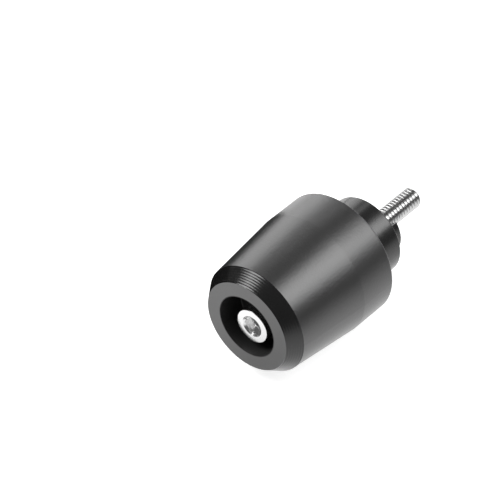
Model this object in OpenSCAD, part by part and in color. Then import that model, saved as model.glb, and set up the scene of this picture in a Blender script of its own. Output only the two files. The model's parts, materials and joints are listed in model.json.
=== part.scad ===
// Bar end weight for a handlebar tube. A turned aluminium weight with a recessed outer face
// and a collar with a half-round register are carried by one socket cap screw, whose thread
// leaves the inner end. Not yet tightened, the screw lies on the low side of the weight's bore,
// and the collar hangs on the screw.
// The axis runs along Y. The outer face looks towards -Y, and the stud leaves towards +Y.
// The origin is on the axis of the collar, in the shoulder that seats on the tube's end.

/* [Barrel] */
// Diameter of the straight stretch behind the taper
barrel_d = 36.2; // [34:0.2:42]
// Length from the outer face to the back of the barrel
barrel_len = 37.6; // [34:0.2:50]
// Length of the straight stretch behind the taper
straight_len = 11.8; // [6:0.2:18]
// Diameter at the rim where the taper meets the chamfer
rim_d = 31.8; // [29:0.2:33]
// Diameter of the flat outer face
face_d = 26.4; // [23:0.2:28]
// Length along the axis of the chamfer round the face
chamfer_len = 3.9; // [2.5:0.1:6]
// Radius of the broken edges of the weight and the collar
edge_r = 0.4; // [0.1:0.05:0.6]

/* [Tool grooves of the chamfer] */
// How many grooves the round-nosed tool left across the chamfer
groove_count = 7; // [3:1:10]
// Depth of a groove below its two crests
groove_depth = 0.03; // [0.01:0.01:0.1]

/* [Collar and register] */
// Diameter of the collar whose shoulder seats on the tube's end
collar_d = 23.2; // [21:0.2:28]
// Length of the collar
collar_len = 11.8; // [5:0.2:20]
// Diameter of the half-round register that keys the collar into the tube's end
register_d = 17; // [14:0.1:19]
// Length of the register beyond the shoulder
register_len = 4.3; // [2:0.1:8]
// Turn of the register's flat about the axis, from level
register_turn = 38; // [0:1:359]
// Play of the screw's thread in the collar's hole, across the diameter
collar_play = 0.3; // [0.1:0.05:0.8]

/* [Recess and bore] */
// Diameter of the recess in the outer face
recess_d = 18; // [14:0.2:20]
// How deep the top of the screw's head lies below the outer face
head_sink = 2.1; // [0.5:0.1:6]
// Radius in the corner between the recess's wall and its floor
recess_corner_r = 0.5; // [0.2:0.1:1]
// Diameter of the oversize hole through the weight
bore_d = 9; // [7:0.1:9.4]
// Gap between the loose screw's thread and the side of the hole that it lies against
lie_gap = 0.03; // [0.02:0.01:0.2]

/* [Cap screw] */
// Outer diameter of the thread
thread_d = 6; // [5.8:0.1:6.5]
// Diameter of the plain shank up to the thread, as thick as the blank that the thread is rolled on
shank_d = 5.35; // [4.5:0.05:5.7]
// Length of the screw under its head
screw_len = 62; // [56:1:90]
// Length of the bevel at the end of the thread
end_bevel = 1; // [0.4:0.1:1.2]
// Diameter of the head
head_d = 10; // [9.8:0.1:11]
// Height of the head
head_h = 6; // [5:0.1:7]
// Radius of the head's top edge
head_edge_r = 0.4; // [0.2:0.05:0.7]
// How many teeth the knurl round the head has
knurl_teeth = 60; // [40:2:72]
// Depth of the knurl
knurl_depth = 0.12; // [0.05:0.01:0.2]
// Distance across the flats of the key's socket
hex_af = 5; // [4:0.1:6]
// Depth of the flats of the key's socket
hex_depth = 3; // [2:0.1:4]
// Turn of the socket's corners about the screw's axis
hex_turn = 8; // [0:1:59]

/* [Hidden] */
$fn = 96;
// Steps in the arc of a rounded corner, and of a tool groove
CORNER_STEPS = 4;
GROOVE_STEPS = 4;
// How far a cutter runs past the face that it enters
CUT = 1;

face_r = face_d / 2;
rim_r = rim_d / 2;
barrel_r = barrel_d / 2;
collar_r = collar_d / 2;
register_r = register_d / 2;
recess_r = recess_d / 2;
bore_r = bore_d / 2;
collar_bore_r = (thread_d + collar_play) / 2;
thread_r = thread_d / 2;
shank_r = shank_d / 2;
head_r = head_d / 2;
hex_corner_r = hex_af / 2 / cos(30);

// Stations along the axis, measured from the outer face
taper_end = barrel_len - straight_len;
shoulder = barrel_len + collar_len;
inner_end = shoulder + register_len;
recess_depth = head_h + head_sink;
stud_end = recess_depth + screw_len;

// Length of the thread's full diameter, which begins where the screw leaves the register
thread_len = stud_end - inner_end;
// Radius of the head's plain rim, just inside the knurl's valleys, and where the knurl begins
head_rim_r = head_r - knurl_depth - 0.05;
knurl_start = head_edge_r + 0.1;
// How far the loose screw, and the collar on it, lie below the weight's axis
screw_drop = bore_r - thread_r - lie_gap;
// Bevel round the mouth of the key's socket, and the drill point at its floor
mouth_bevel = 0.25;
drill_point = hex_corner_r * cos(30) * tan(30);
// Bevel at both mouths of the bore
bore_bevel = 0.3;

function unit(v) = v / norm(v);

// Arc of radius r that rounds corner b of an outline between its neighbours a and c
function rounded(a, b, c, r) =
    r == 0 ? [b] :
    let (
        u = unit(a - b),
        v = unit(c - b),
        half = acos(u * v) / 2,
        centre = b + unit(u + v) * r / sin(half),
        from = b + u * r / tan(half) - centre,
        to = b + v * r / tan(half) - centre,
        start = atan2(from[1], from[0]),
        turn = (atan2(to[1], to[0]) - start + 540) % 360 - 180
    )
    [for (i = [0:CORNER_STEPS])
        let (angle = start + turn * i / CORNER_STEPS)
        centre + r * [cos(angle), sin(angle)]];

// Outline from corners written as [radius from the axis, station, rounding]
function outline(corners) =
    let (
        count = len(corners),
        at = [for (corner = corners) [corner[0], corner[1]]]
    )
    [for (i = [0:count - 1])
        each rounded(at[(i + count - 1) % count], at[i], at[(i + 1) % count], corners[i][2])];

// Grooves side by side from point a to point b, each a shallow arc between two crests
function tool_grooves(a, b) =
    let (
        along = b - a,
        inward = unit([-along[1], along[0]])
    )
    [for (groove = [0:groove_count - 1], step = [0:GROOVE_STEPS - 1])
        let (
            share = step / GROOVE_STEPS,
            sag = groove_depth * 4 * share * (1 - share)
        )
        if (groove + step > 0)
            a + along * (groove + share) / groove_count + inward * sag];

// Turns what is drawn along Z from the outer face into the place along Y
module on_axis() {
    translate([0, -shoulder, 0]) rotate([-90, 0, 0]) children();
}

// Solid blank of the weight, with its grooved chamfer
module turned_blank() {
    front = [face_r, 0];
    rim = [rim_r, chamfer_len];
    back = outline([
        [0, 0, 0],
        [rim_r, chamfer_len, 0],
        [barrel_r, taper_end, 0],
        [barrel_r, barrel_len, edge_r],
        [0, barrel_len, 0]
    ]);
    behind_rim = [for (i = [1:len(back) - 1]) back[i]];
    rotate_extrude()
        polygon(concat([[0, 0], front], tool_grooves(front, rim), behind_rim));
}

// Cutter for the recess that takes the screw's head
module recess_cutter() {
    rotate_extrude()
        polygon(outline([
            [0, -CUT, 0],
            [recess_r, -CUT, 0],
            [recess_r, recess_depth, recess_corner_r],
            [0, recess_depth, 0]
        ]));
}

// Cutter for the oversize bore, with a bevel at its two mouths
module bore_cutter() {
    rotate_extrude()
        polygon([
            [0, recess_depth - CUT],
            [bore_r + bore_bevel, recess_depth - CUT],
            [bore_r + bore_bevel, recess_depth],
            [bore_r, recess_depth + bore_bevel],
            [bore_r, barrel_len - bore_bevel],
            [bore_r + bore_bevel, barrel_len],
            [bore_r + bore_bevel, barrel_len + CUT],
            [0, barrel_len + CUT]
        ]);
}

// The weight, turned from one bar, with its axis above that of the loose screw
module weight_body() {
    color([0.09, 0.09, 0.1])
        translate([0, 0, screw_drop]) on_axis() difference() {
            turned_blank();
            recess_cutter();
            bore_cutter();
        }
}

// Cutter that leaves half of the register standing on the shoulder
module register_cutter() {
    rotate([0, 0, -register_turn]) translate([-collar_r, -collar_r, shoulder])
        cube([collar_d, collar_r, register_len + CUT]);
}

// The collar between the weight and the tube, with the half-round register that keys it there
module register_collar() {
    color([0.09, 0.09, 0.1])
        on_axis() difference() {
            rotate_extrude()
                polygon(outline([
                    [0, barrel_len, 0],
                    [collar_r, barrel_len, edge_r],
                    [collar_r, shoulder, edge_r],
                    [register_r, shoulder, 0],
                    [register_r, inner_end, edge_r],
                    [0, inner_end, 0]
                ]));
            translate([0, 0, barrel_len - CUT])
                cylinder(r = collar_bore_r, h = collar_len + register_len + 2 * CUT);
            register_cutter();
        }
}

// Head with the knurl round its side and a plain rounded rim in front of it, top down on z = 0
module knurled_head() {
    rotate_extrude()
        polygon(outline([
            [0, 0, 0],
            [head_rim_r, 0, head_edge_r],
            [head_rim_r, head_h, 0],
            [0, head_h, 0]
        ]));
    translate([0, 0, knurl_start]) linear_extrude(head_h - knurl_start)
        polygon([for (i = [0:2 * knurl_teeth - 1])
            let (
                r = head_r - (i % 2) * knurl_depth,
                angle = i * 180 / knurl_teeth
            )
            r * [cos(angle), sin(angle)]]);
}

// Cutter for the key's socket: bevelled mouth, six flats and a drill point
module hex_cutter() {
    rotate([0, 0, -hex_turn]) translate([0, 0, -CUT])
        cylinder(r = hex_corner_r, h = hex_depth + CUT, $fn = 6);
    translate([0, 0, -mouth_bevel])
        cylinder(r1 = hex_corner_r + mouth_bevel, r2 = hex_corner_r - mouth_bevel, h = 2 * mouth_bevel);
    translate([0, 0, hex_depth - CUT / 10])
        cylinder(r1 = hex_af / 2, r2 = 0, h = drill_point);
}

// Socket cap screw, loose in the weight's bore and on the axis of the collar
module cap_screw() {
    color([0.78, 0.78, 0.77])
        on_axis() translate([0, 0, head_sink]) {
            difference() {
                knurled_head();
                hex_cutter();
            }
            rotate_extrude()
                polygon([
                    [0, head_h - CUT],
                    [shank_r, head_h - CUT],
                    [shank_r, head_h + screw_len - thread_len],
                    [thread_r, head_h + screw_len - thread_len],
                    [thread_r, head_h + screw_len - end_bevel],
                    [thread_r - end_bevel, head_h + screw_len],
                    [0, head_h + screw_len]
                ]);
        }
}

weight_body();
register_collar();
cap_screw();
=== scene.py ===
"""Bar end weight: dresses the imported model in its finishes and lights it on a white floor.

The weight and its collar keep their CAD meshes and get their finish. The cap screw is built here
with its real thread, knurl and key socket, and stands for its CAD node. Sizes are in millimetres up
to the point where a mesh, a lamp or the camera is made, and Blender gets metres.
"""

import json
import logging
import math
from collections.abc import Callable
from dataclasses import dataclass, field
from enum import Enum, IntEnum
from typing import Any

import bmesh
import bpy
from mathutils import Matrix, Vector

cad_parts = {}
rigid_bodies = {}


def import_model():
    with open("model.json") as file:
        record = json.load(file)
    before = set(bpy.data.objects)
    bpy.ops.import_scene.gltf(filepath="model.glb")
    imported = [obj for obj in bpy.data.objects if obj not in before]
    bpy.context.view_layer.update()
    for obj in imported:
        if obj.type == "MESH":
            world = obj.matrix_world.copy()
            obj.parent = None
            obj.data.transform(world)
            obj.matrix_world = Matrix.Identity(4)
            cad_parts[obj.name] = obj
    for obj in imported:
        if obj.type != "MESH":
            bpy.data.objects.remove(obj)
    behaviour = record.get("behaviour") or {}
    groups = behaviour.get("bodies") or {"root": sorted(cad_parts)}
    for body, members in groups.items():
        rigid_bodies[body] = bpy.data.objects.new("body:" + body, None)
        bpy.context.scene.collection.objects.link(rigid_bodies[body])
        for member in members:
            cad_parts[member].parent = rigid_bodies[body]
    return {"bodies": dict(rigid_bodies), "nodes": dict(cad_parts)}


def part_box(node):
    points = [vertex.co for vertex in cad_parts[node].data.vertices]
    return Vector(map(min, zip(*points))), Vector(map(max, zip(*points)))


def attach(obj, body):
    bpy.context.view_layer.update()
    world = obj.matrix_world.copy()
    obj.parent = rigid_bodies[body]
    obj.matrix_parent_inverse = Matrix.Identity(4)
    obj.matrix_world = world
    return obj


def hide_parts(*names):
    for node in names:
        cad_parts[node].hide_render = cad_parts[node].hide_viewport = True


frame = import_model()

MM = 0.001
# How far behind the outer face the lamps look, in millimetres, near the middle of weight and collar
MIDDLE_STATION = 23.0
log = logging.getLogger("bar_end_weight")

Colour = tuple[float, float, float, float]
Ring = list[Vector]
# Gives a radius or a station for an angle about the axis, in radians
AroundAxis = Callable[[float], float]


class Ray(Enum):
    """Kinds of ray that a material or the world can tell apart, by their Light Path socket."""

    CAMERA = "Is Camera Ray"
    GLOSSY = "Is Glossy Ray"
    TRANSMISSION = "Is Transmission Ray"


class Slot(Enum):
    """Material slots of the record."""

    ALUMINIUM = "anodised_aluminium"
    STEEL = "stainless_steel"


class MixInput(IntEnum):
    """Numbers of a Mix node's two values, for each type, because their names repeat."""

    NUMBER_A = 2
    NUMBER_B = 3
    VECTOR_A = 4
    VECTOR_B = 5
    COLOUR_A = 6
    COLOUR_B = 7


class MixResult(IntEnum):
    """Numbers of a Mix node's results, for each type, because their names repeat."""

    NUMBER = 0
    VECTOR = 1
    COLOUR = 2


def linear(hex_colour: str) -> Colour:
    """Turn an sRGB hex colour into linear light.

    Args:
        hex_colour: The colour as "#rrggbb".

    Returns:
        Linear red, green and blue, with an alpha of 1.
    """
    shares = [int(hex_colour[i:i + 2], 16) / 255 for i in (1, 3, 5)]
    red, green, blue = [s / 12.92 if s <= 0.04045 else ((s + 0.055) / 1.055) ** 2.4 for s in shares]
    return red, green, blue, 1.0


def add_node(tree: bpy.types.NodeTree, kind: str, inputs: dict[Any, Any] | None = None,
             **settings: Any) -> bpy.types.Node:
    """Add a node with its settings and its links.

    Args:
        tree: The node tree that gets the node.
        kind: The node's type name.
        inputs: Values, or output sockets to link from, by the name or number of the input.
        **settings: Attributes of the node, such as its operation.

    Returns:
        The new node.
    """
    node = tree.nodes.new(kind)
    for name, value in settings.items():
        setattr(node, name, value)
    for socket, value in (inputs or {}).items():
        if isinstance(value, bpy.types.NodeSocket):
            tree.links.new(value, node.inputs[socket])
        else:
            node.inputs[socket].default_value = value
    return node


def new_material(name: str) -> tuple[bpy.types.Material, bpy.types.NodeTree]:
    """Make an empty node material.

    Args:
        name: The material's name.

    Returns:
        The material and its node tree.
    """
    material = bpy.data.materials.new(name)
    material.use_nodes = True
    material.node_tree.nodes.clear()
    return material, material.node_tree


def seen_by(tree: bpy.types.NodeTree, *rays: Ray) -> bpy.types.NodeSocket:
    """Give a socket that is 1 for rays of the named kinds and 0 for all others.

    Args:
        tree: The node tree that asks.
        *rays: The kinds of ray.

    Returns:
        The socket.
    """
    path = add_node(tree, "ShaderNodeLightPath")
    seen = path.outputs[rays[0].value]
    for ray in rays[1:]:
        seen = add_node(tree, "ShaderNodeMath", {0: seen, 1: path.outputs[ray.value]},
                        operation="MAXIMUM").outputs[0]
    return seen


@dataclass(frozen=True)
class TurnedZones:
    """Where a blasted piece was turned again, in millimetres in the part's frame."""

    # Height of the piece's axis, and the stations before and beyond which it was turned
    axis_height: float
    before: float
    beyond: float
    # Radius within which it was cut by boring, where a darker tint is painted as shade
    within: float
    # Place of the outer face, if the piece has one, and the pitch of the grooves behind it
    face: float = -math.inf
    groove_pitch: float = 1.0


@dataclass(frozen=True)
class Skin:
    """How one way of working leaves the surface."""

    tint: str
    roughness: float


@dataclass(frozen=True)
class OxideSkin(Skin):
    """A skin under black oxide, whose metallic share mirrors while the rest scatters light."""

    metallic: float = 0.85


@dataclass(frozen=True)
class BlackAnodisedAluminium:
    """Turned aluminium, bead blasted on the outside and anodised black.

    The blasting spreads each light into a broad satin band with a faint sparkle. The chamfer, the
    back and the collar were turned again, so they are darker and glossier, and the chamfer shows the
    tool's grooves. The flat face was only faced, so it is as pale as the blasted skin and shows
    rings. The recess and the holes were cut by boring and are matt, and their tint is painted darker
    than the oxide alone, as painted shade in them.
    """

    name: str = "black_anodised_aluminium"
    slot: Slot = Slot.ALUMINIUM
    blasted: OxideSkin = OxideSkin("#646464", 0.34)
    turned: OxideSkin = OxideSkin("#474747", 0.19)
    faced: OxideSkin = OxideSkin("#646464", 0.3)
    # Matt bored skin, whose tint is painted darker than the oxide alone as painted shade in the recess and
    # holes
    bored_with_painted_shade: OxideSkin = OxideSkin("#303030", 0.5, metallic=0.2)
    # The real grain of fine glass beads is about 0.06 mm, drawn ten times as coarse so that it shows
    grain_mm: float = 0.6
    grain_height_mm: float = 0.045
    # Feed of the finishing cut, drawn about twice as coarse as a real 0.12 mm so that it shows
    feed_mm: float = 0.25
    feed_height_mm: float = 0.004
    # Height of the sharp crests that the tool left between the modelled grooves
    groove_height_mm: float = 0.025
    # How far behind the plane of the outer face a point still counts as on it
    face_reach_mm: float = 0.025

    def make(self, piece: str, zones: TurnedZones) -> bpy.types.Material:
        """Build the material for a piece.

        Args:
            piece: The name of the piece that wears it.
            zones: Where that piece was turned again.

        Returns:
            The material.
        """
        material, tree = new_material(f"{self.name}_{piece}")
        place = add_node(tree, "ShaderNodeTexCoord").outputs["Object"]
        axes = add_node(tree, "ShaderNodeSeparateXYZ", {0: place})
        station = axes.outputs["Y"]
        height = add_node(tree, "ShaderNodeMath", {
            0: axes.outputs["Z"], 1: zones.axis_height * MM}, operation="SUBTRACT")
        across = add_node(tree, "ShaderNodeCombineXYZ", {"X": axes.outputs["X"], "Y": height.outputs[0]})
        radius = add_node(tree, "ShaderNodeVectorMath", {0: across.outputs[0]},
                          operation="LENGTH").outputs["Value"]

        turned, faced, bored_with_painted_shade = self._masks(tree, zones, station, radius)
        grain = add_node(tree, "ShaderNodeTexNoise", {
            "Vector": place, "Scale": 1 / (self.grain_mm * MM), "Detail": 3.0, "Roughness": 0.6})
        ring_place = add_node(tree, "ShaderNodeCombineXYZ", {"X": radius, "Y": station})
        rings = add_node(tree, "ShaderNodeTexNoise", {
            "Vector": ring_place.outputs[0], "Scale": 1 / (self.feed_mm * MM), "Detail": 2.0,
            "Roughness": 0.5}, noise_dimensions="2D")

        blasted_bump = add_node(tree, "ShaderNodeBump", {
            "Height": grain.outputs["Fac"], "Distance": self.grain_height_mm * MM, "Strength": 1.0})
        turned_bump = add_node(tree, "ShaderNodeBump", {
            "Height": rings.outputs["Fac"], "Distance": self.feed_height_mm * MM, "Strength": 1.0,
            "Normal": self._grooves(tree, zones, station)})
        cut = add_node(tree, "ShaderNodeMath", {0: turned, 1: bored_with_painted_shade}, operation="MAXIMUM")
        normal = add_node(tree, "ShaderNodeMix", {
            "Factor": cut.outputs[0], MixInput.VECTOR_A: blasted_bump.outputs[0],
            MixInput.VECTOR_B: turned_bump.outputs[0]}, data_type="VECTOR")
        colour: Any = linear(self.blasted.tint)
        roughness: Any = self.blasted.roughness
        metallic: Any = self.blasted.metallic
        for mask, skin in ((turned, self.turned), (faced, self.faced), (bored_with_painted_shade, self.bored_with_painted_shade)):
            colour = add_node(tree, "ShaderNodeMix", {
                "Factor": mask, MixInput.COLOUR_A: colour, MixInput.COLOUR_B: linear(skin.tint),
            }, data_type="RGBA").outputs[MixResult.COLOUR]
            roughness = add_node(tree, "ShaderNodeMix", {
                "Factor": mask, MixInput.NUMBER_A: roughness, MixInput.NUMBER_B: skin.roughness,
            }).outputs[MixResult.NUMBER]
            metallic = add_node(tree, "ShaderNodeMix", {
                "Factor": mask, MixInput.NUMBER_A: metallic, MixInput.NUMBER_B: skin.metallic,
            }).outputs[MixResult.NUMBER]
        shader = add_node(tree, "ShaderNodeBsdfPrincipled", {
            "Base Color": colour, "Metallic": metallic, "Roughness": roughness,
            "Normal": normal.outputs[MixResult.VECTOR]})
        add_node(tree, "ShaderNodeOutputMaterial", {"Surface": shader.outputs[0]})
        return material

    def _grooves(self, tree: bpy.types.NodeTree, zones: TurnedZones,
                 station: bpy.types.NodeSocket) -> bpy.types.NodeSocket:
        """Give the normal of round grooves with sharp crests, one pitch apart from the outer face on.

        Args:
            tree: The material's node tree.
            zones: Where the piece was turned.
            station: The place along the axis, in metres.

        Returns:
            The socket.
        """
        if math.isinf(zones.face):
            return add_node(tree, "ShaderNodeNewGeometry").outputs["Normal"]
        pitches = add_node(tree, "ShaderNodeMapRange", {
            "Value": station, "From Min": zones.face * MM,
            "From Max": (zones.face + zones.groove_pitch) * MM}, clamp=False)
        share = add_node(tree, "ShaderNodeMath", {0: pitches.outputs[0]}, operation="FRACT").outputs[0]
        rest = add_node(tree, "ShaderNodeMath", {0: 1.0, 1: share}, operation="SUBTRACT")
        sag = add_node(tree, "ShaderNodeMath", {0: share, 1: rest.outputs[0]}, operation="MULTIPLY")
        # The factor makes the arc 1 deep halfway between two crests
        groove = add_node(tree, "ShaderNodeMath", {0: sag.outputs[0], 1: -4.0}, operation="MULTIPLY")
        bump = add_node(tree, "ShaderNodeBump", {
            "Height": groove.outputs[0], "Distance": self.groove_height_mm * MM, "Strength": 1.0})
        return bump.outputs[0]

    def _masks(self, tree: bpy.types.NodeTree, zones: TurnedZones, station: bpy.types.NodeSocket,
               radius: bpy.types.NodeSocket) -> tuple[bpy.types.NodeSocket, ...]:
        """Give sockets that are 1 where the piece was turned, faced and cut by boring after blasting,
        where the last also marks the painted shade.

        Args:
            tree: The material's node tree.
            zones: Where that is.
            station: The place along the axis, in metres.
            radius: The distance from the axis, in metres.

        Returns:
            The three sockets, where the turned one takes in the face.
        """
        before = add_node(tree, "ShaderNodeMath", {
            0: station, 1: zones.before * MM}, operation="LESS_THAN")
        beyond = add_node(tree, "ShaderNodeMath", {
            0: station, 1: zones.beyond * MM}, operation="GREATER_THAN")
        turned = add_node(tree, "ShaderNodeMath", {
            0: before.outputs[0], 1: beyond.outputs[0]}, operation="MAXIMUM")
        faced = add_node(tree, "ShaderNodeMath", {
            0: station, 1: (zones.face + self.face_reach_mm) * MM}, operation="LESS_THAN")
        bored_with_painted_shade = add_node(tree, "ShaderNodeMath", {
            0: radius, 1: zones.within * MM}, operation="LESS_THAN")
        return turned.outputs[0], faced.outputs[0], bored_with_painted_shade.outputs[0]


@dataclass(frozen=True)
class BrightStainlessSteel:
    """Cold headed stainless steel with a rolled thread, bright and slightly brushed.

    The head mirrors the floor and the lamps almost as white as they are. The dies leave the thread
    greyer, so that only the lamps are white in it.
    """

    name: str = "bright_stainless_steel"
    slot: Slot = Slot.STEEL
    headed: Skin = Skin("#eaeaea", 0.23)
    rolled: Skin = Skin("#c7c7c7", 0.21)
    # Scratches of the tumbling, drawn nine times as coarse as the real 0.02 mm so that they show
    scratch_mm: float = 0.18
    scratch_height_mm: float = 0.0007
    # Share of the roughness that the smoothest and the roughest spots have
    smoothest: float = 0.8
    roughest: float = 1.2

    def make(self, rolled_from: float) -> bpy.types.Material:
        """Build the material.

        Args:
            rolled_from: The station where the rolled thread begins, in millimetres in the part's frame.

        Returns:
            The material.
        """
        material, tree = new_material(self.name)
        place = add_node(tree, "ShaderNodeTexCoord").outputs["Object"]
        station = add_node(tree, "ShaderNodeSeparateXYZ", {0: place}).outputs["Y"]
        on_thread = add_node(tree, "ShaderNodeMath", {
            0: station, 1: rolled_from * MM}, operation="GREATER_THAN").outputs[0]
        tint = add_node(tree, "ShaderNodeMix", {
            "Factor": on_thread, MixInput.COLOUR_A: linear(self.headed.tint),
            MixInput.COLOUR_B: linear(self.rolled.tint)}, data_type="RGBA")
        mean_roughness = add_node(tree, "ShaderNodeMix", {
            "Factor": on_thread, MixInput.NUMBER_A: self.headed.roughness,
            MixInput.NUMBER_B: self.rolled.roughness})
        scratches = add_node(tree, "ShaderNodeTexNoise", {
            "Vector": place, "Scale": 1 / (self.scratch_mm * MM), "Detail": 4.0})
        bump = add_node(tree, "ShaderNodeBump", {
            "Height": scratches.outputs["Fac"], "Distance": self.scratch_height_mm * MM})
        spread = add_node(tree, "ShaderNodeMapRange", {
            "Value": scratches.outputs["Fac"], "To Min": self.smoothest, "To Max": self.roughest})
        roughness = add_node(tree, "ShaderNodeMath", {
            0: mean_roughness.outputs[MixResult.NUMBER], 1: spread.outputs[0]}, operation="MULTIPLY")
        shader = add_node(tree, "ShaderNodeBsdfPrincipled", {
            "Base Color": tint.outputs[MixResult.COLOUR], "Metallic": 1.0,
            "Roughness": roughness.outputs[0], "Normal": bump.outputs[0]})
        add_node(tree, "ShaderNodeOutputMaterial", {"Surface": shader.outputs[0]})
        return material


@dataclass(frozen=True)
class PaintedLightPool:
    """A pool of painted light on the paper, which only reflections show, and painted shade where its glow
    is below 0. It has half its glow at its radius.
    """

    # Its middle from the lamps' target, towards +X and +Y, and its radius, in millimetres
    aside: float
    behind: float
    radius: float
    glow: float


@dataclass(frozen=True)
class WhiteSweepPaper:
    """Matt white background paper, which looks white all over and still takes a shadow.

    Metal mirrors the painted pools of light on it as white, the painted shade as darker, and the paper
    further off as grey.
    """

    name: str = "white_sweep_paper"
    tint: str = "#e6e6e6"
    # What is added to the lamps' light on it before the camera, so that it shows as white
    glow: float = 0.77
    # Painted brightness that reflections show, far off and in the painted pools
    far_glow: float = 0.18
    # Painted pools of light, and one of painted shade, which only reflections show
    painted_pools: tuple[PaintedLightPool, ...] = (
        PaintedLightPool(aside=0.0, behind=0.0, radius=65.0, glow=0.78),
        PaintedLightPool(aside=-210.0, behind=165.0, radius=130.0, glow=2.3),
        PaintedLightPool(aside=-40.0, behind=-75.0, radius=40.0, glow=0.72),
        # Painted shade in reflections, standing for the shade that the weight casts in front of its face
        PaintedLightPool(aside=-2.0, behind=-30.0, radius=14.0, glow=-0.48),
    )

    def make(self, target: Vector) -> bpy.types.Material:
        """Build the material.

        Args:
            target: The point on the paper under the lamps' target, in millimetres.

        Returns:
            The material.
        """
        material, tree = new_material(self.name)
        matt = add_node(tree, "ShaderNodeBsdfDiffuse", {"Color": linear(self.tint)})
        seen = seen_by(tree, Ray.CAMERA, Ray.TRANSMISSION)
        strength = add_node(tree, "ShaderNodeMath", {0: seen, 1: self.glow}, operation="MULTIPLY")
        glow = add_node(tree, "ShaderNodeEmission", {"Strength": strength.outputs[0]})
        seen_straight = add_node(tree, "ShaderNodeAddShader", {0: matt.outputs[0], 1: glow.outputs[0]})

        place = add_node(tree, "ShaderNodeTexCoord").outputs["Object"]
        painted_light: Any = self.far_glow
        for pool in self.painted_pools:
            middle = (target + Vector((pool.aside, pool.behind, 0))) * MM
            away = add_node(tree, "ShaderNodeVectorMath", {
                0: place, 1: tuple(middle)}, operation="DISTANCE").outputs["Value"]
            share = add_node(tree, "ShaderNodeMath", {0: away, 1: pool.radius * MM}, operation="DIVIDE")
            fall = add_node(tree, "ShaderNodeMath", {
                0: share.outputs[0], 1: share.outputs[0], 2: 1.0}, operation="MULTIPLY_ADD")
            pooled = add_node(tree, "ShaderNodeMath", {
                0: pool.glow, 1: fall.outputs[0]}, operation="DIVIDE")
            painted_light = add_node(tree, "ShaderNodeMath", {
                0: pooled.outputs[0], 1: painted_light}, operation="ADD").outputs[0]
        # Painted reflection: the pools' glow is emission that only glossy rays see, not light from the
        # lamps
        painted_reflection = add_node(tree, "ShaderNodeEmission", {"Strength": painted_light})
        in_metal = seen_by(tree, Ray.GLOSSY)
        either = add_node(tree, "ShaderNodeMixShader", {
            0: in_metal, 1: seen_straight.outputs[0], 2: painted_reflection.outputs[0]})
        add_node(tree, "ShaderNodeOutputMaterial", {"Surface": either.outputs[0]})
        return material


@dataclass(frozen=True)
class BlackFlock:
    """Black flocked card, which sends back almost no light and gives metal a dark edge."""

    name: str = "black_flock"
    tint: str = "#0a0a0a"

    def make(self) -> bpy.types.Material:
        """Build the material.

        Returns:
            The material.
        """
        material, tree = new_material(self.name)
        matt = add_node(tree, "ShaderNodeBsdfDiffuse", {"Color": linear(self.tint)})
        add_node(tree, "ShaderNodeOutputMaterial", {"Surface": matt.outputs[0]})
        return material


@dataclass
class TurnedWeight:
    """The weight, which keeps its CAD mesh. Its sizes say where each finish lies, in millimetres."""

    node: str = "weight_body"
    chamfer_len: float = 3.9
    groove_count: int = 7
    recess_d: float = 18.0
    # Radius of the back's rounded edge, which is turned from halfway on
    edge_r: float = 0.4
    # How far round the recess the face is painted as dark as its wall, as painted shade at the recess
    # mouth
    painted_shade_rim: float = 0.2
    finish: BlackAnodisedAluminium = field(default_factory=BlackAnodisedAluminium)

    def __post_init__(self) -> None:
        """Take the place of the outer face, the barrel's axis and its lowest line from the CAD node."""
        low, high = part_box(self.node)
        self.face_centre = Vector((0, low.y, (low.z + high.z) / 2)) / MM
        self.back = high.y / MM
        self.underside = low.z / MM

    def dress(self) -> bpy.types.Object:
        """Give the CAD mesh its finish.

        Returns:
            The weight's object.
        """
        # The darker bored tint, partly painted shade, reaches a little onto the face round the recess
        zones = TurnedZones(
            axis_height=self.face_centre.z, before=self.face_centre.y + self.chamfer_len,
            beyond=self.back - self.edge_r / 2, within=self.recess_d / 2 + self.painted_shade_rim,
            face=self.face_centre.y, groove_pitch=self.chamfer_len / self.groove_count)
        body = frame["nodes"][self.node]
        body.material_slots[0].material = self.finish.make(self.node, zones)
        return body


@dataclass
class RegisterCollar:
    """The collar with its half-round register, which keeps its CAD mesh. Sizes in millimetres."""

    node: str = "register_collar"
    hole_d: float = 6.3
    # Turned all over, a little softer than the weight's chamfer
    finish: BlackAnodisedAluminium = field(
        default_factory=lambda: BlackAnodisedAluminium(turned=OxideSkin("#525252", 0.24)))

    def dress(self) -> bpy.types.Object:
        """Give the CAD mesh its finish.

        Returns:
            The collar's object.
        """
        low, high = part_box(self.node)
        zones = TurnedZones(
            axis_height=(low.z + high.z) / 2 / MM, before=high.y / MM, beyond=low.y / MM,
            within=self.hole_d / 2)
        collar = frame["nodes"][self.node]
        collar.material_slots[0].material = self.finish.make(self.node, zones)
        return collar


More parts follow.
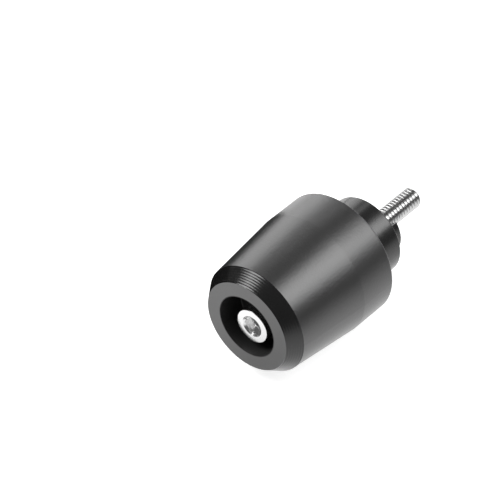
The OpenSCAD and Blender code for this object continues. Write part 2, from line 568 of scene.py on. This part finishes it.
@dataclass
class CapScrew:
    """Socket cap screw with a knurled head, a plain shank and a rolled right-hand thread.

    Sizes are in millimetres and angles in degrees.
    """

    node: str = "cap_screw"
    name: str = "threaded_cap_screw"
    head_d: float = 10.0
    head_h: float = 6.0
    head_edge_r: float = 0.15
    knurl_teeth: int = 60
    knurl_depth: float = 0.12
    # Height of the plain rim in front of the knurl, and how far it lies below the teeth
    rim_h: float = 0.25
    rim_relief: float = 0.04
    # Length over which the teeth rise from the rim, and over which they fade out below
    knurl_rise: float = 0.1
    knurl_fade: float = 0.2
    hex_af: float = 5.0
    hex_depth: float = 3.0
    # Turn of the socket's corners about the axis
    hex_turn: float = 8.0
    # Diameter of the drill point in the socket's floor, and the slope of its cone
    drill_d: float = 4.9
    drill_slope: float = 30.0
    mouth_bevel: float = 0.25
    shank_d: float = 5.35
    fillet_r: float = 0.25
    thread_d: float = 6.0
    # Crest to crest as it reads on the real screw, a little over the standard 1 mm
    pitch: float = 1.12
    # The rolled crests read broad and blunt, so the thread is shallower than the standard 0.61 mm
    thread_depth: float = 0.45
    crest_width: float = 0.44
    root_width: float = 0.12
    # Length of the thread, which is standard for this size, so that it starts inside the collar
    thread_len: float = 24.0
    end_bevel: float = 1.0
    finish: BrightStainlessSteel = field(default_factory=BrightStainlessSteel)

    # Points round the head for each tooth of the knurl, round the thread, along one pitch and in an arc
    steps_per_tooth: int = 4
    steps_per_turn: int = 96
    steps_per_pitch: int = 16
    steps_in_arc: int = 5
    # Turns that the thread is wound before its start and at least beyond its end, then cut off
    turns_before: int = 2
    turns_beyond: int = 1
    # Edges bent by more than this many degrees are sharp
    sharp_angle: float = 35.0

    def __post_init__(self) -> None:
        """Take the screw's place and length from its CAD node."""
        low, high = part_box(self.node)
        self.top = low.y / MM
        self.end = high.y / MM
        self.height = (low.z + high.z) / 2 / MM
        self.thread_start = self.end - self.thread_len

    def ring(self, station: float, radius: float) -> Ring:
        """Give one round ring of points.

        Args:
            station: Its place below the top of the head.
            radius: Its radius.

        Returns:
            The points, in millimetres, on the screw's own axis.
        """
        return self.shaped_ring(lambda angle: station, lambda angle: radius)

    def shaped_ring(self, station: AroundAxis, radius: AroundAxis) -> Ring:
        """Give one ring whose radius and place change round the axis.

        Args:
            station: Function from the angle to the place below the top of the head.
            radius: Function from the angle to the radius.

        Returns:
            The points, in millimetres, on the screw's own axis.
        """
        count = self.knurl_teeth * self.steps_per_tooth
        angles = [math.radians(self.hex_turn) + math.tau * i / count for i in range(count)]
        return [Vector((radius(a) * math.cos(a), station(a), radius(a) * math.sin(a))) for a in angles]

    def arc_rings(self, station: float, radius: float, flare: float) -> list[Ring]:
        """Give the rings of a quarter arc that runs into the cylinder below it.

        Args:
            station: Where the arc begins, below the top of the head.
            radius: The cylinder's radius.
            flare: How much wider the arc begins, or narrower if it is below 0. It is the arc's radius.

        Returns:
            The rings, from the top down.
        """
        rings = []
        for step in range(self.steps_in_arc + 1):
            turn = math.radians(90 * step / self.steps_in_arc)
            rings.append(self.ring(station + abs(flare) * (1 - math.cos(turn)),
                                   radius + flare * (1 - math.sin(turn))))
        return rings

    def hex_radius(self, angle: float) -> float:
        """Give the distance from the axis to the socket's wall.

        Args:
            angle: The angle about the axis, in radians.

        Returns:
            The distance.
        """
        sector = math.tau / 6
        off_flat = (angle - math.radians(self.hex_turn)) % sector - sector / 2
        return self.hex_af / 2 / math.cos(off_flat)

    def knurl_radius(self, angle: float) -> float:
        """Give the knurl's radius at an angle, in radians, as sharp straight teeth."""
        share = (angle - math.radians(self.hex_turn)) * self.knurl_teeth / math.tau % 1
        return self.head_d / 2 - self.knurl_depth * (1 - abs(2 * share - 1))

    def head_rings(self) -> list[Ring]:
        """List the rings of head and shank.

        Returns:
            The rings, from the floor of the socket to the end of the shank.
        """
        mouth = self.hex_af / 2 / math.cos(math.radians(30)) + self.mouth_bevel
        rim = self.head_d / 2 - self.rim_relief
        shank = self.shank_d / 2
        # The shank ends half a pitch inside the thread, so that the two overlap and can be joined
        shank_end = self.thread_start - self.top + self.pitch / 2
        return [
            self.ring(self.hex_depth, self.drill_d / 2),
            self.shaped_ring(lambda a: self.hex_depth, self.hex_radius),
            self.shaped_ring(lambda a: mouth - self.hex_radius(a), self.hex_radius),
            self.ring(0.0, mouth),
            *self.arc_rings(0.0, rim, -self.head_edge_r),
            self.ring(self.rim_h, rim),
            self.shaped_ring(lambda a: self.rim_h + self.knurl_rise, self.knurl_radius),
            self.shaped_ring(lambda a: self.head_h - self.knurl_fade, self.knurl_radius),
            self.ring(self.head_h, rim),
            *self.arc_rings(self.head_h, shank, self.fillet_r),
            self.ring(shank_end, shank),
        ]

    def head_mesh(self) -> bmesh.types.BMesh:
        """Skin the rings of head and shank, closed at the drill point and at the shank's end.

        Returns:
            The mesh, in millimetres, on the screw's own axis.
        """
        made = bmesh.new()
        rings = [[made.verts.new(point) for point in ring] for ring in self.head_rings()]
        count = len(rings[0])
        tip = self.hex_depth + self.hex_af / 2 * math.tan(math.radians(self.drill_slope))
        point = made.verts.new((0, tip, 0))
        for i in range(count):
            made.faces.new((point, rings[0][i], rings[0][(i + 1) % count]))
        for inner, outer in zip(rings, rings[1:]):
            for i in range(count):
                k = (i + 1) % count
                made.faces.new((inner[i], outer[i], outer[k], inner[k]))
        made.faces.new(rings[-1])
        return made

    def thread_radius(self, share: float, station: float) -> float:
        """Give the thread's radius.

        Args:
            share: Place in the pitch, from 0 on a crest to 1 on the next.
            station: Place below the top of the head, which limits it at the bevelled end.

        Returns:
            The radius.
        """
        from_crest = min(share, 1 - share) * self.pitch
        flank = (self.pitch - self.crest_width - self.root_width) / 2
        down = min(max((from_crest - self.crest_width / 2) / flank, 0.0), 1.0)
        radius = self.thread_d / 2 - self.thread_depth * (1 - math.cos(math.pi * down)) / 2
        to_end = self.end - self.top - station
        return min(radius, self.thread_d / 2 - self.end_bevel + max(to_end, 0.0))

    def thread_mesh(self) -> bmesh.types.BMesh:
        """Build the thread as a strip wound along its helix, cut square at both ends and capped.

        Returns:
            The mesh, in millimetres, on the screw's own axis.
        """
        made = bmesh.new()
        start = self.thread_start - self.top
        length = self.end - self.thread_start
        pitch_steps = self.steps_per_pitch
        turn_steps = self.steps_per_turn
        turns = self.turns_before + math.ceil(length / self.pitch) + self.turns_beyond
        rows = turns * pitch_steps
        grid = []
        for i in range(rows + 1):
            row = []
            for j in range(turn_steps):
                station = start + (i / pitch_steps + j / turn_steps - self.turns_before) * self.pitch
                radius = self.thread_radius(i % pitch_steps / pitch_steps, station)
                angle = -math.tau * j / turn_steps
                row.append(made.verts.new((radius * math.cos(angle), station, radius * math.sin(angle))))
            grid.append(row)
        for i in range(rows - pitch_steps):
            for j in range(turn_steps):
                # After a full turn the strip meets itself one pitch further on
                wraps = j + 1 == turn_steps
                k = 0 if wraps else j + 1
                ahead = i + pitch_steps if wraps else i
                made.faces.new((grid[i][j], grid[i + 1][j], grid[ahead + 1][k], grid[ahead][k]))
        self._cut_and_cap(made, start, -1)
        self._cut_and_cap(made, start + length, 1)
        return made

    @staticmethod
    def _cut_and_cap(made: bmesh.types.BMesh, station: float, side: int) -> None:
        """Cut the mesh square and close the cut.

        Args:
            made: The mesh.
            station: Where the cut goes.
            side: 1 takes away what lies beyond it, and -1 what lies before it.
        """
        everything = made.verts[:] + made.edges[:] + made.faces[:]
        cut = bmesh.ops.bisect_plane(made, geom=everything, plane_co=(0, station, 0),
                                     plane_no=(0, side, 0), clear_outer=True)
        loose = [v for v in made.verts if not v.link_faces]
        bmesh.ops.delete(made, geom=loose, context="VERTS")
        edges = [e for e in cut["geom_cut"]
                 if isinstance(e, bmesh.types.BMEdge) and e.is_valid and e.is_boundary]
        bmesh.ops.holes_fill(made, edges=edges, sides=0)

    def build(self) -> bpy.types.Object:
        """Build the screw as one closed mesh in its place, dress it and stand it for its node.

        Returns:
            The screw's object.
        """
        place = Matrix.Scale(MM, 4) @ Matrix.Translation((0, self.top, self.height))
        parts = []
        for name, made in ((self.name, self.head_mesh()), ("thread_only", self.thread_mesh())):
            bmesh.ops.recalc_face_normals(made, faces=made.faces)
            mesh = bpy.data.meshes.new(name)
            made.to_mesh(mesh)
            made.free()
            part = bpy.data.objects.new(name, mesh)
            bpy.context.scene.collection.objects.link(part)
            parts.append(part)
        screw, thread = parts
        union = screw.modifiers.new("join_thread", "BOOLEAN")
        union.operation = "UNION"
        union.solver = "EXACT"
        union.object = thread
        bpy.context.view_layer.update()
        evaluated = screw.evaluated_get(bpy.context.evaluated_depsgraph_get())
        joined = bpy.data.meshes.new_from_object(evaluated)
        screw.modifiers.clear()
        screw.data = joined
        bpy.data.objects.remove(thread)
        joined.transform(place)
        joined.shade_smooth()
        joined.set_sharp_from_angle(angle=math.radians(self.sharp_angle))
        joined.materials.clear()
        joined.materials.append(self.finish.make(self.thread_start))
        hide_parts(self.node)
        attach(screw, "root")
        return screw


@dataclass(frozen=True)
class Softbox:
    """A rectangular lamp that looks at the weight, invisible to the camera itself."""

    name: str
    # Direction from the weight to the lamp: degrees from +X towards +Y, and degrees above the floor
    azimuth: float
    elevation: float
    # Size and distance in millimetres
    width: float
    height: float
    # How bright it shows in a mirror, where 1 is white
    brightness: float
    distance: float = 600.0

    def place(self, target: Vector) -> bpy.types.Object:
        """Hang the lamp.

        Args:
            target: What it looks at, in millimetres.

        Returns:
            The lamp's object.
        """
        a, e = math.radians(self.azimuth), math.radians(self.elevation)
        away = Vector((math.cos(a) * math.cos(e), math.sin(a) * math.cos(e), math.sin(e)))
        lamp = bpy.data.lights.new(self.name, "AREA")
        lamp.shape = "RECTANGLE"
        lamp.size = self.width * MM
        lamp.size_y = self.height * MM
        # An area lamp's power is its brightness times pi times its area
        lamp.energy = self.brightness * math.pi * lamp.size * lamp.size_y
        hung = bpy.data.objects.new(self.name, lamp)
        hung.location = (target + away * self.distance) * MM
        hung.rotation_mode = "QUATERNION"
        hung.rotation_quaternion = (-away).to_track_quat("-Z", "Y")
        hung.visible_camera = False
        bpy.context.scene.collection.objects.link(hung)
        return hung


@dataclass
class Studio:
    """White paper sweep, a black card beside the weight, soft lamps and a dim room."""

    # Where the lamps look, and how high the paper lies, in millimetres
    target: Vector
    floor_height: float
    # Direction of the paper's wall, in degrees from +X towards +Y, and the paper's sizes
    sweep_azimuth: float = 135.0
    sweep_width: float = 3000.0
    sweep_front: float = 2500.0
    sweep_back: float = 1500.0
    sweep_top: float = 1000.0
    bend_r: float = 400.0
    bend_steps: int = 12
    # Brightness of the room as a fill, and as metal mirrors it
    room_glow: float = 0.15
    room_in_metal: float = 0.115
    # The card's place from the target: its plane, its two ends and its top edge
    card_aside: float = -22.0
    card_near: float = -27.0
    card_far: float = 12.5
    card_top: float = 14.0
    lamps: tuple[Softbox, ...] = (
        Softbox("right_softbox", azimuth=39.0, elevation=45.0, width=370.0, height=370.0, brightness=3.6),
        Softbox("left_softbox", azimuth=215.0, elevation=50.0, width=450.0, height=290.0, brightness=5.9),
        Softbox("back_softbox", azimuth=150.0, elevation=22.0, width=310.0, height=410.0, brightness=2.1),
        Softbox("high_softbox", azimuth=126.0, elevation=47.0, width=150.0, height=150.0, brightness=1.2),
    )

    def sweep(self) -> bpy.types.Object:
        """Lay the paper: flat under the weight, then bent up into a low wall behind it.

        Returns:
            The paper's object.
        """
        profile = [(-self.sweep_front, 0.0), (self.sweep_back - self.bend_r, 0.0)]
        for step in range(1, self.bend_steps + 1):
            turn = math.radians(90 * step / self.bend_steps)
            profile.append((self.sweep_back - self.bend_r * (1 - math.sin(turn)),
                            self.bend_r * (1 - math.cos(turn))))
        profile.append((self.sweep_back, self.sweep_top))
        made = bmesh.new()
        a = math.radians(self.sweep_azimuth)
        back = Vector((math.cos(a), math.sin(a), 0))
        side = Vector((-math.sin(a), math.cos(a), 0))
        ends = []
        for along, up in profile:
            middle = back * along + Vector((0, 0, self.floor_height + up))
            ends.append([made.verts.new((middle + side * s * self.sweep_width / 2) * MM) for s in (-1, 1)])
        for (left, right), (left_next, right_next) in zip(ends, ends[1:]):
            made.faces.new((left, left_next, right_next, right))
        foot = Vector((self.target.x, self.target.y, self.floor_height))
        return self._stage_piece("paper_sweep", made, WhiteSweepPaper().make(foot))

    def card(self) -> bpy.types.Object:
        """Stand a black card on the left of the weight, which only reflections show.

        Returns:
            The card's object.
        """
        made = bmesh.new()
        aside = self.target.x + self.card_aside
        near = self.target.y + self.card_near
        far = self.target.y + self.card_far
        top = self.target.z + self.card_top
        outline = [(near, self.floor_height), (far, self.floor_height), (far, top), (near, top)]
        made.faces.new([made.verts.new(Vector((aside, y, z)) * MM) for y, z in outline])
        card = self._stage_piece("black_card", made, BlackFlock().make())
        card.visible_camera = False
        card.visible_shadow = False
        card.visible_diffuse = False
        return card

    @staticmethod
    def _stage_piece(name: str, made: bmesh.types.BMesh, material: bpy.types.Material) -> bpy.types.Object:
        """Turn a mesh into a piece of the stage.

        Args:
            name: The object's name.
            made: The mesh, in metres, which is freed.
            material: What it wears.

        Returns:
            The object.
        """
        mesh = bpy.data.meshes.new(name)
        made.to_mesh(mesh)
        made.free()
        mesh.shade_smooth()
        mesh.materials.append(material)
        piece = bpy.data.objects.new(name, mesh)
        bpy.context.scene.collection.objects.link(piece)
        return piece

    def room(self) -> None:
        """Set the world: white to the camera, dim in the metal, and a soft fill for the paper."""
        world = bpy.data.worlds.new("room")
        world.use_nodes = True
        tree = world.node_tree
        tree.nodes.clear()
        in_metal = seen_by(tree, Ray.GLOSSY)
        fill = add_node(tree, "ShaderNodeMix", {
            "Factor": in_metal, MixInput.NUMBER_A: self.room_glow,
            MixInput.NUMBER_B: self.room_in_metal})
        to_camera = seen_by(tree, Ray.CAMERA, Ray.TRANSMISSION)
        strength = add_node(tree, "ShaderNodeMix", {
            "Factor": to_camera, MixInput.NUMBER_A: fill.outputs[MixResult.NUMBER],
            MixInput.NUMBER_B: 1.0})
        glow = add_node(tree, "ShaderNodeBackground", {
            "Color": linear("#ffffff"), "Strength": strength.outputs[MixResult.NUMBER]})
        add_node(tree, "ShaderNodeOutputWorld", {"Surface": glow.outputs[0]})
        bpy.context.scene.world = world

    def build(self) -> None:
        """Lay the paper, stand the card, hang the lamps and set the room."""
        self.sweep()
        self.card()
        for lamp in self.lamps:
            lamp.place(self.target)
        self.room()


@dataclass
class StudioCamera:
    """The photograph's viewpoint, as a pinhole camera fitted to the edges of the weight."""

    # Direction from the weight to the camera: degrees from -Y towards +X, and degrees above the floor
    azimuth: float = 40.5
    elevation: float = 41.7
    # Focal length in pixels of the 500 pixel wide photograph
    focal_px: float = 2585.0
    image_px: float = 500.0
    sensor_mm: float = 36.0
    # Scale at the outer face, and where that face's centre lies in the photograph
    px_per_mm: float = 3.901
    face_px: tuple[float, float] = (246.607, 326.642)
    # Where clipping begins and ends, as shares of the distance to the face
    clip_near: float = 0.1
    clip_far: float = 20.0

    def place(self, face_centre: Vector) -> bpy.types.Object:
        """Set up the camera.

        Args:
            face_centre: The centre of the weight's outer face, in millimetres.

        Returns:
            The camera's object.
        """
        a, e = math.radians(self.azimuth), math.radians(self.elevation)
        right = Vector((math.cos(a), math.sin(a), 0))
        up = Vector((-math.sin(a) * math.sin(e), math.cos(a) * math.sin(e), math.cos(e)))
        forward = Vector((-math.sin(a) * math.cos(e), math.cos(a) * math.cos(e), -math.sin(e)))
        aside = (self.face_px[0] - self.image_px / 2) / self.px_per_mm
        below = (self.face_px[1] - self.image_px / 2) / self.px_per_mm
        ahead = self.focal_px / self.px_per_mm
        data = bpy.data.cameras.new("photo_camera")
        data.sensor_width = self.sensor_mm
        data.lens = self.focal_px / self.image_px * self.sensor_mm
        data.clip_start = ahead * MM * self.clip_near
        data.clip_end = ahead * MM * self.clip_far
        camera = bpy.data.objects.new("photo_camera", data)
        camera.location = (face_centre - right * aside + up * below - forward * ahead) * MM
        camera.rotation_mode = "QUATERNION"
        camera.rotation_quaternion = Matrix((right, up, -forward)).transposed().to_quaternion()
        bpy.context.scene.collection.objects.link(camera)
        bpy.context.scene.camera = camera
        return camera


def clear_defaults() -> None:
    """Remove every object that didn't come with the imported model."""
    kept = set(frame["nodes"].values()) | set(frame["bodies"].values())
    for thing in list(bpy.data.objects):
        if thing not in kept:
            bpy.data.objects.remove(thing)


def main() -> None:
    """Build the scene in order and report each piece."""
    logging.basicConfig(level=logging.INFO, format="%(name)s: %(message)s")
    clear_defaults()
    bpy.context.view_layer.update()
    bpy.context.scene.view_settings.view_transform = "Standard"

    weight = TurnedWeight()
    StudioCamera().place(weight.face_centre)
    for piece in (weight, RegisterCollar()):
        dressed = piece.dress()
        log.info("%s dressed in %s, %d faces", dressed.name, piece.finish.slot.value,
                 len(dressed.data.polygons))

    cap_screw = CapScrew()
    screw = cap_screw.build()
    log.info("%s built in %s, %d faces", screw.name, cap_screw.finish.slot.value,
             len(screw.data.polygons))

    target = weight.face_centre + Vector((0, MIDDLE_STATION, 0))
    Studio(target=target, floor_height=weight.underside).build()
    log.info("studio built")


if __name__ == "__main__":
    main()
